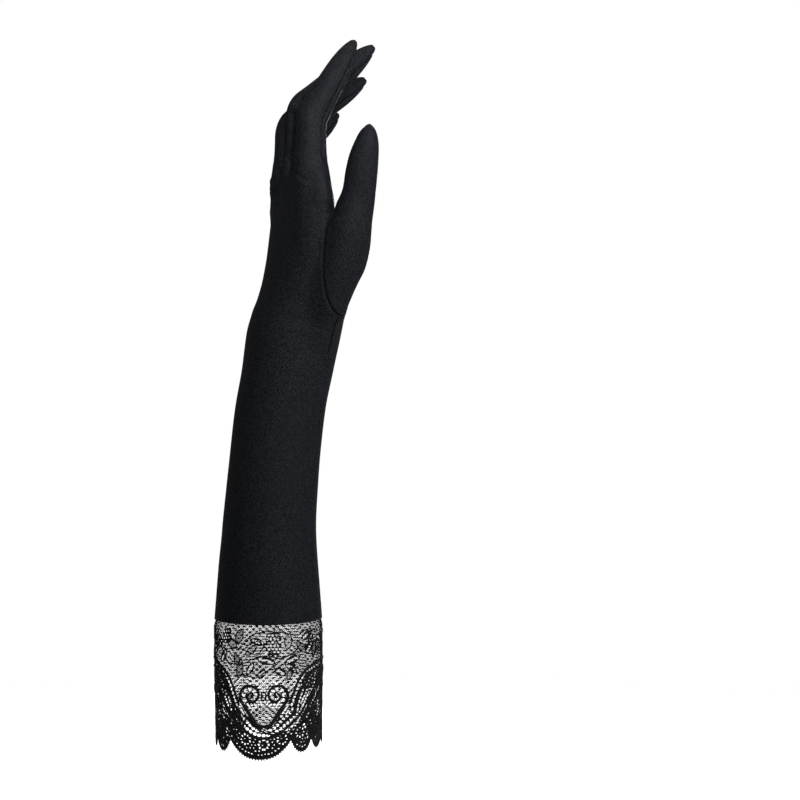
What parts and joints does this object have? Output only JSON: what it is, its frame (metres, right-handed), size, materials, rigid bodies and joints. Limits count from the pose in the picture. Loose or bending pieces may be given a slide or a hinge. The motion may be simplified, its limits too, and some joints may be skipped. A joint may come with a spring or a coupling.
{
  "type": "long satin glove with lace cuff",
  "caption": "Long satin opera glove for the left hand, shown as worn, with panels seamed along the sides, a set-in thumb and a scalloped lace cuff.",
  "frame": {"origin": "middle of the arm opening, in the plane of the lowest scallops of the lace", "axes": "+Z from the arm opening to the fingertips, +X the way the palm faces (turned 22 degrees towards +Y), -Y the thumb's side"},
  "size_m": [0.1006, 0.0838, 0.4302],
  "materials": {
    "satin": "near-black stretch satin with a soft sheen",
    "lace": "near-black matt thread lace"
  },
  "bodies": {
    "root": {"back_panel": "satin", "palm_panel": "satin", "thumb": "satin", "lace_cuff": "lace"}
  },
  "joints": []
}
